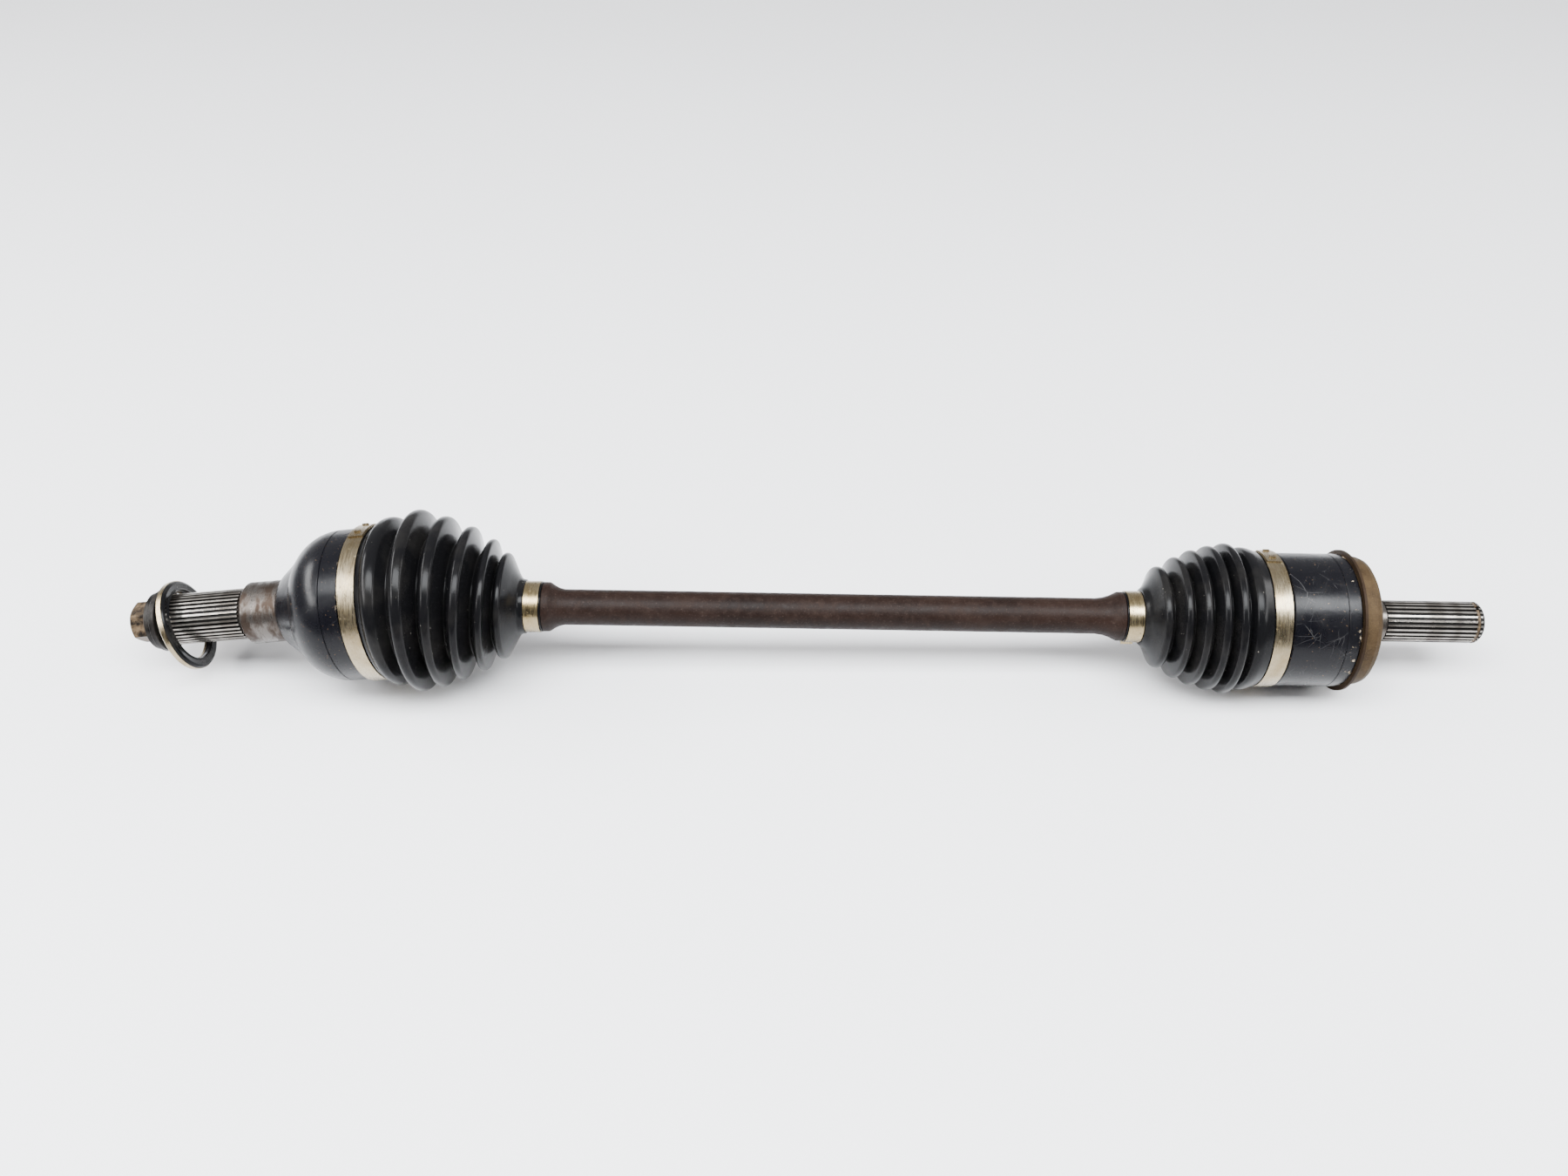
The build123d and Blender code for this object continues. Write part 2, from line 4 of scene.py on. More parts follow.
import bpy
import numpy as np
from mathutils import Matrix, Vector

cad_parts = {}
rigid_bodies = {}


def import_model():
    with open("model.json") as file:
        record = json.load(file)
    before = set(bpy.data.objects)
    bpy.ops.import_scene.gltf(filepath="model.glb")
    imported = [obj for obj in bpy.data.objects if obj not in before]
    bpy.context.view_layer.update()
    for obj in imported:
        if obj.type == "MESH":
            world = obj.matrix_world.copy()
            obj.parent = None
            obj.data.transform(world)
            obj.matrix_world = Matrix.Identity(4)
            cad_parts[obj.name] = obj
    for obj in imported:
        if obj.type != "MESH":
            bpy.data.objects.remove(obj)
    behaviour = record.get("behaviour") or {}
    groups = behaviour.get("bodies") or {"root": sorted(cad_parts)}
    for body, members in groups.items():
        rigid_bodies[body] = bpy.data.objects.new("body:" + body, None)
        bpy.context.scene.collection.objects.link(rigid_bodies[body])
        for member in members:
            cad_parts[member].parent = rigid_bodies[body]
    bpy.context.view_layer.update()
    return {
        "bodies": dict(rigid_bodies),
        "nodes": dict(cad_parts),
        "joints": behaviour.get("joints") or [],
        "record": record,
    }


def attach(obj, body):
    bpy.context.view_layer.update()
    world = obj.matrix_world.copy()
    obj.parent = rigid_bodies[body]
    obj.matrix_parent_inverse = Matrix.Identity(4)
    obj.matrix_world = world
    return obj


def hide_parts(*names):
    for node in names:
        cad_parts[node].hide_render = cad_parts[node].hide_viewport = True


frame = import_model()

MM = 0.001

# ---------- places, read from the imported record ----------
JOINTS = {joint["name"]: joint for joint in frame["joints"]}
MOUNTS = {mount["name"]: mount for mount in frame["record"]["mounts"]}
OUTER = Vector(JOINTS["outer_pitch"]["pos_m"])          # centre of the hub end's joint
INNER = Vector(JOINTS["inner_pitch"]["pos_m"])          # centre of the gearbox end's joint
BAR_AXIS = Vector((1, 0, 0))
STUB_AXIS = -Vector(MOUNTS["hub_spline"]["axis"])       # along the hub stub, towards the bar
SIDE = Vector((0, 1, 0))
DROOP = math.atan2(STUB_AXIS.z, STUB_AXIS.x)


# ---------- materials ----------
class Look:
    """One Principled shader and the nodes that feed it, placed by Object coordinates, in metres."""

    def __init__(self, name, **uniform):
        self.material = bpy.data.materials.new(name)
        self.material.use_nodes = True
        self.tree = self.material.node_tree
        self.shader = self.tree.nodes["Principled BSDF"]
        self.point = self.add("ShaderNodeTexCoord").outputs["Object"]
        for socket, value in uniform.items():
            self.shader.inputs[socket.replace("_", " ")].default_value = value

    def add(self, kind, **settings):
        node = self.tree.nodes.new(kind)
        for key, value in settings.items():
            setattr(node, key, value)
        return node

    def feed(self, socket, value):
        if isinstance(value, bpy.types.NodeSocket):
            self.tree.links.new(value, socket)
        else:
            socket.default_value = value

    def noise(self, scale, detail=4.0, roughness=0.55, vector=None):
        node = self.add("ShaderNodeTexNoise")
        self.feed(node.inputs["Vector"], vector or self.point)
        node.inputs["Scale"].default_value = scale
        node.inputs["Detail"].default_value = detail
        node.inputs["Roughness"].default_value = roughness
        return node.outputs["Fac"]

    def color_noise(self, scale):
        node = self.add("ShaderNodeTexNoise")
        self.feed(node.inputs["Vector"], self.point)
        node.inputs["Scale"].default_value = scale
        return node.outputs["Color"]

    def math(self, operation, first, second=0.0):
        node = self.add("ShaderNodeMath", operation=operation)
        self.feed(node.inputs[0], first)
        self.feed(node.inputs[1], second)
        return node.outputs[0]

    def vector_math(self, operation, first, second=(0, 0, 0)):
        node = self.add("ShaderNodeVectorMath", operation=operation)
        self.feed(node.inputs[0], first)
        self.feed(node.inputs[1], second)
        return node

    def span(self, value, low, high, start=0.0, end=1.0):
        """Maps low..high on to start..end and stops at both ends."""
        node = self.add("ShaderNodeMapRange")
        for socket, item in zip(node.inputs[:5], (value, low, high, start, end)):
            self.feed(socket, item)
        return node.outputs[0]

    def mix(self, amount, first, second):
        node = self.add("ShaderNodeMix", data_type="RGBA")
        for index, item in ((0, amount), (6, first), (7, second)):
            self.feed(node.inputs[index], item)
        return node.outputs[2]

    def blend(self, amount, first, second):
        node = self.add("ShaderNodeMix", data_type="FLOAT")
        for index, item in ((0, amount), (2, first), (3, second)):
            self.feed(node.inputs[index], item)
        return node.outputs[0]

    def axial(self, centre, axis):
        """(distance along the axis, distance from it) of the shaded point, in millimetres."""
        offset = self.vector_math("SUBTRACT", self.point, centre).outputs[0]
        along = self.vector_math("DOT_PRODUCT", offset, axis).outputs["Value"]
        run = self.add("ShaderNodeVectorMath", operation="SCALE")
        run.inputs[0].default_value = axis
        self.feed(run.inputs["Scale"], along)
        away = self.vector_math("SUBTRACT", offset, run.outputs[0]).outputs[0]
        radius = self.vector_math("LENGTH", away).outputs["Value"]
        return self.math("MULTIPLY", along, 1000), self.math("MULTIPLY", radius, 1000)

    def stretched(self, x, y, z, droop=0.0):
        """The shaded point scaled along each axis, first turned level by the droop given."""
        level = self.add("ShaderNodeVectorRotate", rotation_type="Y_AXIS")
        self.feed(level.inputs["Vector"], self.point)
        level.inputs["Angle"].default_value = droop
        return self.vector_math("MULTIPLY", level.outputs[0], (x, y, z)).outputs[0]

    def rings(self, along, pitch_mm, detail=2.0):
        """Fine turned lines round the axis."""
        node = self.add("ShaderNodeCombineXYZ")
        self.feed(node.inputs[0], self.math("DIVIDE", along, pitch_mm))
        return self.noise(1.0, detail, 0.6, node.outputs[0])

    def scratches(self, scale, turn, density):
        """Short thin lines that wander one way over the surface, thickest in a few patches."""
        rotate = self.add("ShaderNodeVectorRotate", rotation_type="EULER_XYZ")
        self.feed(rotate.inputs["Vector"], self.point)
        rotate.inputs["Rotation"].default_value = turn
        bend = self.vector_math("SUBTRACT", self.color_noise(scale * 0.4), (0.5, 0.5, 0.5)).outputs[0]
        bend = self.vector_math("MULTIPLY", bend, (0.006, 0.006, 0.006)).outputs[0]
        moved = self.vector_math("ADD", rotate.outputs[0], bend).outputs[0]
        stretched = self.vector_math("MULTIPLY", moved, (0.10, 1.0, 1.0)).outputs[0]
        cells = self.add("ShaderNodeTexVoronoi", feature="DISTANCE_TO_EDGE")
        self.feed(cells.inputs["Vector"], stretched)
        cells.inputs["Scale"].default_value = scale
        line = self.span(cells.outputs["Distance"], 0.002, 0.013, 1.0, 0.0)
        breaks = self.span(self.noise(scale * 0.9, 2.0), 0.46, 0.56)
        patch = self.span(self.noise(scale * 0.30, 3.0), 1.0 - density, 1.12 - density)
        return self.math("MULTIPLY", line, self.math("MULTIPLY", breaks, patch))

    def finish(self, color=None, roughness=None, metallic=None, height=None, depth_mm=0.05):
        for socket, value in (("Base Color", color), ("Roughness", roughness), ("Metallic", metallic)):
            if value is not None:
                self.feed(self.shader.inputs[socket], value)
        if height is not None:
            bump = self.add("ShaderNodeBump")
            self.feed(bump.inputs["Height"], height)
            bump.inputs["Strength"].default_value = 1.0
            bump.inputs["Distance"].default_value = depth_mm * MM
            self.feed(self.shader.inputs["Normal"], bump.outputs[0])
        return self.material


def rgb(red, green, blue):
    return (red, green, blue, 1.0)


PAINT_BLACK = rgb(0.0022, 0.0022, 0.0033)
PAINT_DUSTY = rgb(0.0085, 0.0084, 0.0086)
STAINED_STEEL = rgb(0.026, 0.0165, 0.0115)
RUST_PALE = rgb(0.34, 0.21, 0.11)
GREASE = rgb(0.0026, 0.0020, 0.0016)


def painted(look, chips, scuffs):
    """Colour and roughness of worn black gloss paint."""
    dust = look.span(look.noise(38, 6.0, 0.65), 0.48, 0.80)
    specks = look.span(look.noise(900, 2.0), 0.70, 0.76)
    color = look.mix(look.math("MULTIPLY", dust, 0.35), PAINT_BLACK, PAINT_DUSTY)
    color = look.mix(look.math("MULTIPLY", specks, 0.35), color, RUST_PALE)
    color = look.mix(look.math("MULTIPLY", scuffs, 0.16), color, rgb(0.22, 0.215, 0.21))
    chip_color = look.mix(look.noise(420, 3.0), rgb(0.13, 0.075, 0.036), rgb(0.50, 0.42, 0.30))
    color = look.mix(chips, color, chip_color)
    rough = look.span(look.noise(55, 5.0), 0.35, 0.75, 0.20, 0.34)
    rough = look.blend(look.math("MULTIPLY", dust, 0.5), rough, 0.50)
    rough = look.blend(chips, rough, 0.62)
    return color, rough


def turned_steel(look, along, stain_from, stain_to):
    """Colour and roughness of machined steel with turned lines and brown stains."""
    lines = look.rings(along, 0.22)
    patches = look.noise(150, 6.0, 0.65, look.stretched(1.0, 0.45, 0.45))
    stain = look.span(patches, stain_from, stain_to)
    color = look.mix(look.span(lines, 0.3, 0.7), rgb(0.058, 0.051, 0.046), rgb(0.125, 0.114, 0.104))
    color = look.mix(look.math("MULTIPLY", stain, 0.90), color, STAINED_STEEL)
    rough = look.blend(stain, look.span(lines, 0.3, 0.7, 0.18, 0.30), 0.50)
    return color, rough, lines


def splined(look, along, radius, tip_mm, droop=0.0):
    """Colour and roughness of spline teeth: bright tips, dark greasy roots, worn bands."""
    tooth = look.span(radius, tip_mm - 0.22, tip_mm - 0.04)
    streak = look.noise(150, 3.0, 0.5, look.stretched(0.10, 1.0, 1.0, droop))
    worn = look.span(look.rings(along, 14.0, 1.0), 0.42, 0.54)
    tip = look.mix(look.span(streak, 0.35, 0.65), rgb(0.085, 0.072, 0.061), rgb(0.25, 0.23, 0.205))
    tip = look.mix(look.math("MULTIPLY", worn, 0.45), tip, rgb(0.44, 0.42, 0.39))
    color = look.mix(tooth, GREASE, tip)
    rough = look.blend(tooth, 0.60, look.span(streak, 0.3, 0.7, 0.16, 0.30))
    return color, rough, tooth


def bell_look():
    look = Look("worn_bell", IOR=1.5, Specular_IOR_Level=0.15)
    along, radius = look.axial(OUTER, STUB_AXIS)
    wander = look.math("MULTIPLY", look.math("SUBTRACT", look.noise(70, 4.0), 0.5), 2.0)
    edge = look.math("ADD", along, wander)
    paint_zone = look.span(along, -46.0, -45.4)
    spline_zone = look.span(along, -70.6, -69.6, 1.0, 0.0)
    near_clamp = look.math(
        "MULTIPLY",
        look.span(edge, 1.2, 2.8),
        look.span(look.noise(260, 5.0), 0.56, 0.66, 0.0, 0.6),
    )
    spots = look.span(look.noise(120, 7.0, 0.7), 0.715, 0.73)
    chips = look.math("MAXIMUM", near_clamp, spots)
    chips = look.math("MULTIPLY", chips, 0.8)
    scuffs = look.scratches(110, (0.3, 0.2, 0.9), 0.46)
    paint_color, paint_rough = painted(look, chips, scuffs)
    steel_color, steel_rough, lines = turned_steel(look, along, 0.42, 0.58)
    spline_color, spline_rough, tooth = splined(look, along, radius, 14.75, DROOP)
    color = look.mix(paint_zone, look.mix(spline_zone, steel_color, spline_color), paint_color)
    rough = look.blend(paint_zone, look.blend(spline_zone, steel_rough, spline_rough), paint_rough)
    metal = look.blend(
        paint_zone,
        look.blend(spline_zone, 0.85, look.math("MULTIPLY", tooth, 0.85)),
        look.math("MULTIPLY", chips, 0.3),
    )
    bumps = look.math("MULTIPLY", look.math("SUBTRACT", 1.0, paint_zone), lines)
    height = look.math("ADD", look.math("MULTIPLY", bumps, 0.35), look.noise(420, 4.0))
    height = look.math("SUBTRACT", height, look.math("MULTIPLY", chips, 1.5))
    return look.finish(color, rough, metal, height, 0.035)


def housing_look():
    look = Look("worn_housing", IOR=1.5, Specular_IOR_Level=0.15)
    along, radius = look.axial(Vector((0, 0, 0)), BAR_AXIS)
    paint_zone = look.span(along, -11.9, -11.4, 1.0, 0.0)
    spline_zone = look.span(along, 4.2, 4.6)
    wander = look.math("MULTIPLY", look.math("SUBTRACT", look.noise(90, 4.0), 0.5), 5.0)
    edge = look.math("ADD", along, wander)
    near_shield = look.math(
        "MULTIPLY",
        look.span(edge, -26.5, -23.5),
        look.span(look.noise(210, 6.0), 0.63, 0.66),
    )
    spots = look.span(look.noise(110, 7.0, 0.7), 0.70, 0.715)
    chips = look.math("MULTIPLY", look.math("MAXIMUM", near_shield, spots), 0.9)
    first = look.scratches(100, (0.5, 0.1, 0.7), 0.56)
    second = look.scratches(150, (-0.4, 0.3, -1.1), 0.54)
    paint_color, paint_rough = painted(look, chips, look.math("MAXIMUM", first, second))
    steel_color, steel_rough, _ = turned_steel(look, along, 0.52, 0.78)
    spline_color, spline_rough, tooth = splined(look, along, radius, 11.9)
    color = look.mix(paint_zone, look.mix(spline_zone, steel_color, spline_color), paint_color)
    rough = look.blend(paint_zone, look.blend(spline_zone, steel_rough, spline_rough), paint_rough)
    metal = look.blend(
        paint_zone,
        look.blend(spline_zone, 0.85, look.math("MULTIPLY", tooth, 0.85)),
        look.math("MULTIPLY", chips, 0.3),
    )
    height = look.math("SUBTRACT", look.noise(420, 4.0), look.math("MULTIPLY", chips, 1.5))
    return look.finish(color, rough, metal, height, 0.035)


def bar_look():
    look = Look("rusty_bar", IOR=1.45, Specular_IOR_Level=0.10)
    broad = look.noise(34, 6.0, 0.62, look.stretched(0.45, 1.0, 1.0))
    mottle = look.noise(190, 6.0, 0.70)
    grain = look.noise(1150, 3.0, 0.6)
    color = look.mix(
        look.span(broad, 0.36, 0.64),
        rgb(0.0050, 0.0026, 0.0020),
        rgb(0.0120, 0.0062, 0.0044),
    )
    color = look.mix(
        look.math("MULTIPLY", look.span(mottle, 0.50, 0.72), 0.65),
        color,
        rgb(0.020, 0.0120, 0.0090),
    )
    color = look.mix(
        look.math("MULTIPLY", look.span(grain, 0.60, 0.70), 0.40),
        color,
        rgb(0.048, 0.034, 0.028),
    )
    color = look.mix(
        look.math("MULTIPLY", look.span(grain, 0.40, 0.32), 0.60),
        color,
        rgb(0.0040, 0.0024, 0.0020),
    )
    rough = look.span(mottle, 0.35, 0.70, 0.40, 0.62)
    height = look.math("ADD", look.math("MULTIPLY", mottle, 1.4), look.math("MULTIPLY", grain, 0.7))
    return look.finish(color, rough, 0.0, height, 0.16)


def rubber_look(name, dust_amount):
    look = Look(name, IOR=1.36, Specular_IOR_Level=0.14)
    haze = look.noise(45, 5.0, 0.6)
    dust = look.math("MULTIPLY", look.span(haze, 0.45, 0.78), dust_amount)
    specks = look.math("MULTIPLY", look.span(look.noise(640, 2.0), 0.755, 0.775), 0.5)
    color = look.mix(dust, rgb(0.0034, 0.0034, 0.0038), rgb(0.026, 0.024, 0.021))
    color = look.mix(specks, color, rgb(0.28, 0.26, 0.22))
    gloss = look.span(look.noise(80, 5.0), 0.35, 0.7, 0.15, 0.23)
    rough = look.math("ADD", gloss, look.math("MULTIPLY", dust, 0.30))
    height = look.math("ADD", look.noise(1400, 2.0), look.math("MULTIPLY", look.noise(160, 3.0), 1.6))
    return look.finish(color, rough, 0.0, height, 0.030)


def zinc_look(name, gold, pale, stain, tarnish):
    look = Look(name, IOR=1.5)
    cloud = look.noise(75, 6.0, 0.62)
    brushed = look.noise(420, 4.0, 0.6, look.stretched(3.0, 0.25, 0.25))
    spots = look.span(look.noise(330, 6.0, 0.7), 0.60, 0.68)
    color = look.mix(look.span(cloud, 0.34, 0.66), gold, pale)
    color = look.mix(look.math("MULTIPLY", spots, tarnish), color, stain)
    rough = look.math("ADD", look.span(brushed, 0.3, 0.7, 0.20, 0.36), look.math("MULTIPLY", spots, 0.2))
    metal = look.span(spots, 0.0, 1.0, 1.0, 0.55)
    return look.finish(color, rough, metal, look.math("ADD", brushed, cloud), 0.015)


def shield_look():
    look = Look("rusty_shield", IOR=1.4, Specular_IOR_Level=0.10)
    _, radius = look.axial(Vector((0, 0, 0)), BAR_AXIS)
    flange = look.span(radius, 37.2, 38.4)
    cloud = look.noise(85, 7.0, 0.66)
    grain = look.noise(1300, 3.0, 0.6)
    color = look.mix(
        look.span(cloud, 0.34, 0.66),
        rgb(0.023, 0.0140, 0.0068),
        rgb(0.053, 0.0345, 0.0172),
    )
    color = look.mix(
        look.math("MULTIPLY", look.span(grain, 0.55, 0.70), 0.35),
        color,
        rgb(0.090, 0.061, 0.033),
    )
    color = look.mix(look.math("MULTIPLY", flange, 0.80), color, rgb(0.012, 0.007, 0.0045))
    rough = look.span(cloud, 0.3, 0.7, 0.48, 0.66)
    height = look.math("ADD", grain, look.math("MULTIPLY", cloud, 2.0))
    return look.finish(color, rough, 0.15, height, 0.06)


def bolt_look(name, dark, brown, grain_share):
    look = Look(name, IOR=1.5, Specular_IOR_Level=0.3)
    cloud = look.noise(230, 6.0, 0.66)
    grain = look.noise(1500, 3.0)
    color = look.mix(look.span(cloud, 0.38, 0.62), dark, brown)
    color = look.mix(
        look.math("MULTIPLY", look.span(grain, 0.55, 0.68), grain_share),
        color,
        rgb(0.16, 0.12, 0.078),
    )
    rough = look.span(cloud, 0.3, 0.7, 0.36, 0.60)
    metal = look.span(cloud, 0.38, 0.62, 0.75, 0.30)
    height = look.math("ADD", grain, look.math("MULTIPLY", cloud, 2.0))
    return look.finish(color, rough, metal, height, 0.05)


def bearing_look():
    look = Look("bearing_steel", IOR=1.5)
    film = look.span(look.noise(120, 5.0, 0.6), 0.42, 0.66)
    color = look.mix(film, rgb(0.66, 0.66, 0.67), rgb(0.20, 0.15, 0.09))
    rough = look.blend(film, 0.10, 0.30)
    return look.finish(color, rough, 0.95, look.noise(700, 3.0), 0.008)


# The CAD nodes not named here are inside the joints, apart from the boots, replaced below.
LOOKS = {
    "outer_bell": bell_look(),
    "inner_housing": housing_look(),
    "shaft": bar_look(),
    "dust_shield": shield_look(),
}
ZINC = zinc_look(
    "gold_zinc",
    rgb(0.215, 0.160, 0.078), rgb(0.31, 0.255, 0.155), rgb(0.045, 0.030, 0.015), 0.60,
)
PALE_ZINC = zinc_look(
    "pale_zinc",
    rgb(0.205, 0.158, 0.088), rgb(0.31, 0.262, 0.178), rgb(0.075, 0.054, 0.030), 0.45,
)
BOLT = bolt_look("old_bolt", rgb(0.014, 0.0105, 0.0080), rgb(0.100, 0.066, 0.036), 0.35)
# Near-black washer colour: partly the washers' own dark finish, partly painted shade standing in for the
# shadow in the gap between the flat washer and the bolt's flange.
DARK_WASHER_AND_SHADE = bolt_look("dark_washer_with_painted_shade", rgb(0.0025, 0.0022, 0.0020), rgb(0.0075, 0.0058, 0.0045), 0.05)
BEARING = bearing_look()
RUBBER = rubber_look("boot_rubber", 0.30)
SEAL_RUBBER = rubber_look("seal_rubber", 0.75)
SHARED_LOOKS = (
    (ZINC, ("outer_boot_clamp_small", "inner_boot_clamp_small")),
    (PALE_ZINC, ("outer_boot_clamp_large", "inner_boot_clamp_large", "seal_ring_plate")),
    (BOLT, ("hub_bolt", "inner_stub_circlip")),
    # the washers' near-black colour is partly painted shade in the gap by the bolt's flange
    (DARK_WASHER_AND_SHADE, ("hub_spring_washer", "hub_flat_washer")),
    (SEAL_RUBBER, ("seal_ring_rubber",)),
)
for shared_look, names in SHARED_LOOKS:
    for name in names:
        LOOKS[name] = shared_look

for name, node in frame["nodes"].items():
    node.data.materials.clear()
    node.data.materials.append(LOOKS.get(name, BEARING))

# ---------- boots ----------
AROUND = 168                # facets round a boot
WALL = 1.5 * MM             # boot wall, measured square to it
CORNER_STEPS = 9
RIDGE_LIFT = 0.25           # mm added to a ridge's corners before they are rounded
RIDGE_ROUNDING = 1.1        # rounding of a ridge's corners, as a share of its half width
VALLEY_ROUNDING = 1.3       # mm


def round_off(corners):
    """A smooth outline through (along, radius, rounding) corners, each rounded by a short curve."""
    points = [Vector(corners[0][:2])]
    for before, here, after in zip(corners, corners[1:], corners[2:]):
        corner = Vector(here[:2])
        back, on = Vector(before[:2]) - corner, Vector(after[:2]) - corner
        cut = min(here[2], 0.49 * back.length, 0.49 * on.length)
        first, last = corner + back.normalized() * cut, corner + on.normalized() * cut
        for step in range(CORNER_STEPS + 1):
            t = step / CORNER_STEPS
            points.append(first * (1 - t) ** 2 + corner * 2 * t * (1 - t) + last * t**2)
    points.append(Vector(corners[-1][:2]))
    return points


def offset_in(points, distance):
    """The same outline moved inwards, towards the axis."""
    moved = []
    for index, point in enumerate(points):
        before, after = points[max(index - 1, 0)], points[min(index + 1, len(points) - 1)]
        run = (after - before).normalized()
        normal = Vector((run.y, -run.x))
        moved.append(point + normal * distance)
    return moved


def shell(name, outline, place):
    """A closed thin-walled piece: the outline turned about a line, where place(along) gives its frame."""
    outer = [Vector(p) for p in outline]
    loop = outer + list(reversed(offset_in(outer, WALL)))
    angles = np.arange(AROUND) * 2 * math.pi / AROUND
    vertices = []
    for along, radius in loop:
        centre, up = place(along)
        for angle in angles:
            vertices.append(centre + (SIDE * math.cos(angle) + up * math.sin(angle)) * radius)
    faces = []
    count = len(loop)
    for row in range(count):
        following = (row + 1) % count
        for column in range(AROUND):
            right = (column + 1) % AROUND
            faces.append((
                row * AROUND + column, row * AROUND + right,
                following * AROUND + right, following * AROUND + column,
            ))
    mesh = bpy.data.meshes.new(name)
    mesh.from_pydata(vertices, [], faces)
    mesh.polygons.foreach_set("use_smooth", [True] * len(faces))
    mesh.update()
    piece = bpy.data.objects.new(name, mesh)
    bpy.context.scene.collection.objects.link(piece)
    return piece


def bezier(first, second, third, last, t):
    rest = 1 - t
    return first * rest**3 + second * 3 * t * rest**2 + third * 3 * t**2 * rest + last * t**3


def outer_place(along):
    """Frame on the outer boot's line: along the stub, through a bend, then along the bar."""
    if along <= BEND_START:
        centre = OUTER + STUB_AXIS * along
    elif along >= BEND_END:
        centre = OUTER + BAR_AXIS * along
    else:
        first, last = OUTER + STUB_AXIS * BEND_START, OUTER + BAR_AXIS * BEND_END
        reach = (last - first).length / 3
        t = (along - BEND_START) / (BEND_END - BEND_START)
        centre = bezier(first, first + STUB_AXIS * reach, last - BAR_AXIS * reach, last, t)
    share = np.interp(along / MM, *zip(*TILT))
    angle = share * DROOP
    return centre, Vector((-math.sin(angle), 0, math.cos(angle)))


def inner_place(along):
    return Vector((along, 0, 0)), Vector((0, 0, 1))


# (along, tilt as a share of the droop): the folds start near
# the bell's tilt, lean back past upright and end upright on the bar.
TILT = ((18, 0.9), (20, 0.7), (34, 0.35), (46, 0.05), (60, -0.45), (72, -0.55), (82, -0.15), (91.5, 0.0))
BEND_START = 18 * MM
BEND_END = 91.5 * MM
# Each ridge is (along, radius, half width) and each valley (along, radius).
OUTER_RIDGES = (
    (20.0, 47.9, 2.1), (34.2, 51.6, 2.4), (47.2, 48.4, 2.0),
    (59.6, 43.6, 1.8), (71.6, 37.4, 1.6), (80.9, 30.2, 1.5),
)
OUTER_VALLEYS = ((27.0, 40.5), (41.2, 38.5), (53.6, 34.0), (65.8, 29.0), (76.6, 24.0))
INNER_RIDGES = (
    (-77.0, 40.6, 1.8), (-86.0, 42.7, 1.9), (-95.0, 41.1, 1.8),
    (-104.5, 38.4, 1.7), (-113.6, 34.3, 1.6), (-123.4, 28.8, 1.8),
)
INNER_VALLEYS = ((-81.4, 35.6), (-90.6, 34.0), (-99.9, 31.6), (-109.2, 27.8), (-119.0, 22.8))


def folds(ridges, valleys, way):
    """Corners of the folds in turn: two for each flat-topped ridge, one for each valley."""
    corners = []
    for index, (along, radius, half) in enumerate(ridges):
        for edge in (along - way * half, along + way * half):
            corners.append((edge, radius + RIDGE_LIFT, half * RIDGE_ROUNDING))
        if index < len(valleys):
            corners.append((*valleys[index], VALLEY_ROUNDING))
    return corners


OUTER_OUTLINE = (
    (2.6, 43.0, 0), (2.8, 43.4, 0.4), (13.0, 43.4, 0.4), (13.4, 44.4, 0.6), (15.0, 45.0, 0.8),
    *folds(OUTER_RIDGES, OUTER_VALLEYS, 1),
    (87.2, 20.4, 4.0), (89.6, 16.4, 1.2), (90.9, 15.7, 0.6), (92.6, 15.5, 0.4), (92.8, 13.9, 0.2),
    (101.6, 13.9, 0.2), (101.8, 14.4, 0.2), (102.4, 14.3, 0.2), (102.5, 13.6, 0),
)
INNER_OUTLINE = (
    (-58.5, 37.4, 0), (-58.6, 37.7, 0.3), (-68.9, 37.7, 0.4), (-69.3, 38.8, 0.5), (-71.0, 39.4, 0.8),
    *folds(INNER_RIDGES, INNER_VALLEYS, -1),
    (-127.4, 24.0, 1.6), (-130.4, 18.4, 2.2), (-133.0, 15.9, 0.5), (-133.4, 13.9, 0.2),
    (-142.0, 13.9, 0.2), (-142.2, 14.3, 0.2), (-142.8, 14.2, 0.2), (-142.9, 13.5, 0),
)


def boot(name, outline, place, node):
    corners = [(along * MM, radius * MM, rounding * MM) for along, radius, rounding in outline]
    if outline[-1][0] < outline[0][0]:
        corners.reverse()
    piece = shell(name, round_off(corners), place)
    piece.data.materials.append(RUBBER)
    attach(piece, "bar")
    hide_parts(node)
    return piece


def follow(piece, body, weight):
    """Lets part of a boot follow another body too; weight(point) says how much.

    The boots are attached to the bar alone, so only these hooks bend them,
    and in Blender only.
    """
    group = piece.vertex_groups.new(name=body)
    for vertex in piece.data.vertices:
        share = weight(vertex.co)
        if share > 0:
            group.add([vertex.index], min(share, 1.0), "REPLACE")
    hook = piece.modifiers.new(f"follow_{body}", "HOOK")
    hook.object = frame["bodies"][body]
    hook.vertex_group = body
    hook.falloff_type = "NONE"
    hook.matrix_inverse = Matrix.Identity(4)
    hook.center = (0, 0, 0)


def ease(value, low, high):
    t = min(max((value - low) / (high - low), 0.0), 1.0)
    return t * t * (3 - 2 * t)


# The stretch of the inner boot that turns, as distances from the joint's centre.
INNER_TURN = (24 * MM, 86 * MM)

outer_boot = boot("outer_bellows", OUTER_OUTLINE, outer_place, "outer_boot")
inner_boot = boot("inner_bellows", INNER_OUTLINE, inner_place, "inner_boot")


def outer_turn(co):
    """How far a point of the outer boot has turned from the bell (0) to the bar (1)."""
    halfway = (STUB_AXIS + BAR_AXIS).normalized()
    return ease((co - OUTER).dot(halfway), BEND_START - 3 * MM, BEND_END)


def inner_turn(co):
    return ease(INNER.x - co.x, *INNER_TURN)


follow(outer_boot, "bell", lambda co: max(1 - 2 * outer_turn(co), 0))
follow(outer_boot, "outer_cage", lambda co: 1 - abs(1 - 2 * outer_turn(co)))
follow(inner_boot, "housing", lambda co: 1 - inner_turn(co))

# ---------- floor, light and camera ----------
FLOOR_SIZE = 30.0
FLOOR_GAP = 0.2 * MM
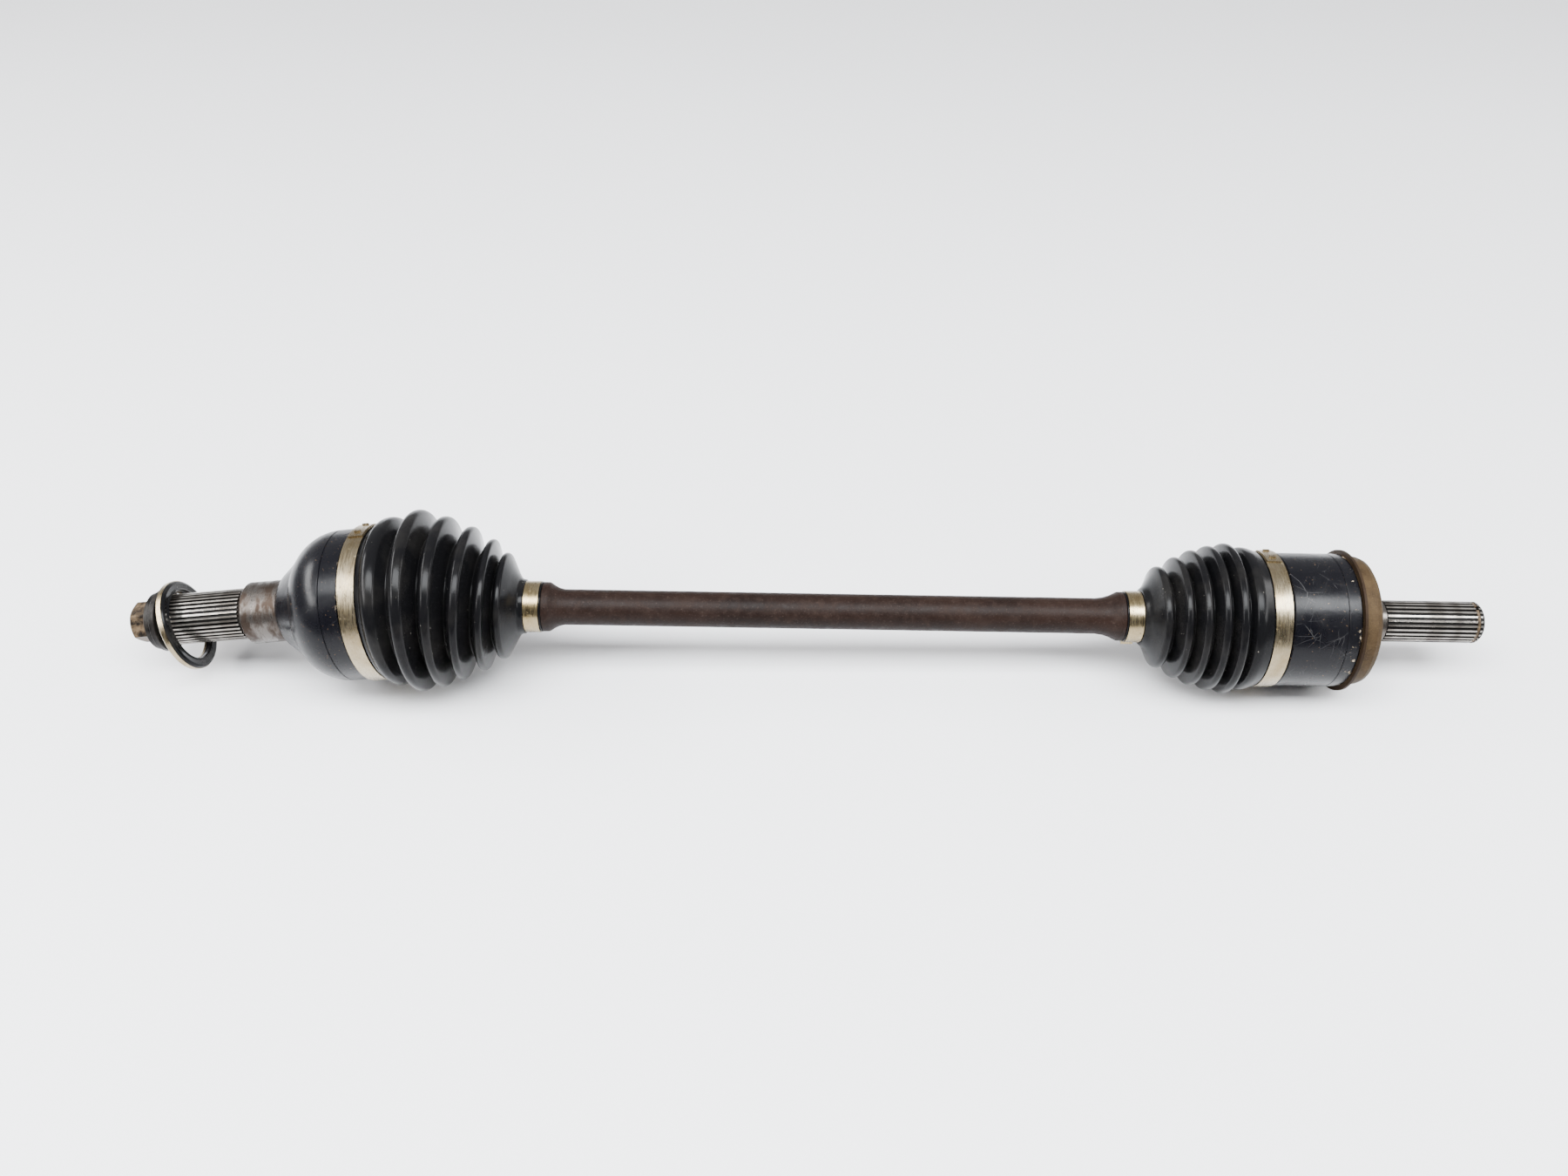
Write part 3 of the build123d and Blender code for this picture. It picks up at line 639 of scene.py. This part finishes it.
# The ridge of each boot that the axle lies on, (along, height) in millimetres. The outer one
# is measured along from the centre of its joint.
OUTER_CONTACT = (34.0, -51.4)
INNER_CONTACT = (-86.0, -43.0)
outer_ridge = Vector((OUTER.x + OUTER_CONTACT[0] * MM, 0, OUTER_CONTACT[1] * MM))
inner_ridge = Vector((INNER_CONTACT[0] * MM, 0, INNER_CONTACT[1] * MM))
rest_line = (inner_ridge - outer_ridge).normalized()

bpy.ops.mesh.primitive_plane_add(size=FLOOR_SIZE, location=outer_ridge - Vector((0, 0, FLOOR_GAP)))
floor = bpy.context.object
floor.name = "floor"
floor.rotation_euler = (0, -math.atan2(rest_line.z, rest_line.x), 0)
floor_look = Look("floor", Roughness=0.42)
floor_tone = floor_look.span(floor_look.noise(1.1, 3.0), 0.3, 0.7)
floor_color = floor_look.mix(floor_tone, rgb(0.76, 0.76, 0.775), rgb(0.80, 0.80, 0.81))
floor.data.materials.append(floor_look.finish(floor_color))


def softbox(name, place, target, size, watts, color=(1, 1, 1)):
    data = bpy.data.lights.new(name, "AREA")
    data.shape = "RECTANGLE"
    data.size, data.size_y = size
    data.energy = watts
    data.color = color
    light = bpy.data.objects.new(name, data)
    light.location = place
    light.rotation_euler = (Vector(target) - Vector(place)).to_track_quat("-Z", "Y").to_euler()
    bpy.context.scene.collection.objects.link(light)


MIDDLE = Vector((-0.337, 0, 0))       # on the bar, near the middle of the axle
SIDE_SIZE = (1.7, 0.30)
softbox("overhead", MIDDLE + Vector((0, -0.46, 1.50)), MIDDLE, (2.4, 0.62), 140, (0.95, 0.975, 1.0))
softbox("left_long", MIDDLE + Vector((-1.45, -0.15, 0.95)), MIDDLE, SIDE_SIZE, 50)
softbox("right_long", MIDDLE + Vector((1.45, -0.15, 0.95)), MIDDLE, SIDE_SIZE, 28)

# The surroundings brighten from front to back, over this span of a direction's y.
WORLD_SPAN = (-0.45, 0.50)
WORLD_GREYS = (0.10, 0.60)
WORLD_STRENGTH = 1.3
world = bpy.data.worlds.new("studio")
bpy.context.scene.world = world
world.use_nodes = True
nodes, links = world.node_tree.nodes, world.node_tree.links
direction = nodes.new("ShaderNodeTexCoord").outputs["Generated"]
split = nodes.new("ShaderNodeSeparateXYZ")
links.new(direction, split.inputs[0])
backward = nodes.new("ShaderNodeMapRange")
links.new(split.outputs["Y"], backward.inputs[0])
for socket, value in zip(backward.inputs[1:5], WORLD_SPAN + WORLD_GREYS):
    socket.default_value = value
tint = nodes.new("ShaderNodeCombineColor")
for channel, factor in (("Red", 1.0), ("Green", 1.0), ("Blue", 1.02)):
    scale = nodes.new("ShaderNodeMath")
    scale.operation = "MULTIPLY"
    links.new(backward.outputs[0], scale.inputs[0])
    scale.inputs[1].default_value = factor
    links.new(scale.outputs[0], tint.inputs[channel])
links.new(tint.outputs[0], nodes["Background"].inputs["Color"])
nodes["Background"].inputs["Strength"].default_value = WORLD_STRENGTH

# The camera looks down on the bar from the front, a little rolled.
DISTANCE = 0.750
ELEVATION = math.radians(45)
ROLL = math.radians(0.97)
LENS = 30.0                 # mm
SENSOR_WIDTH = 36.0         # mm
AIM_ABOVE = 13 * MM         # the bar lies this far below the picture's middle
forward = Vector((0, math.cos(ELEVATION), -math.sin(ELEVATION)))
camera_up = Vector((0, math.sin(ELEVATION), math.cos(ELEVATION)))
camera_data = bpy.data.cameras.new("camera")
camera_data.lens = LENS
camera_data.sensor_width = SENSOR_WIDTH
camera = bpy.data.objects.new("camera", camera_data)
bpy.context.scene.collection.objects.link(camera)
basis = Matrix((BAR_AXIS, camera_up, -forward)).transposed()
roll = Matrix.Rotation(ROLL, 3, "Z")
place = MIDDLE - forward * DISTANCE + camera_up * AIM_ABOVE
camera.matrix_world = Matrix.Translation(place) @ (basis @ roll).to_4x4()
bpy.context.scene.camera = camera
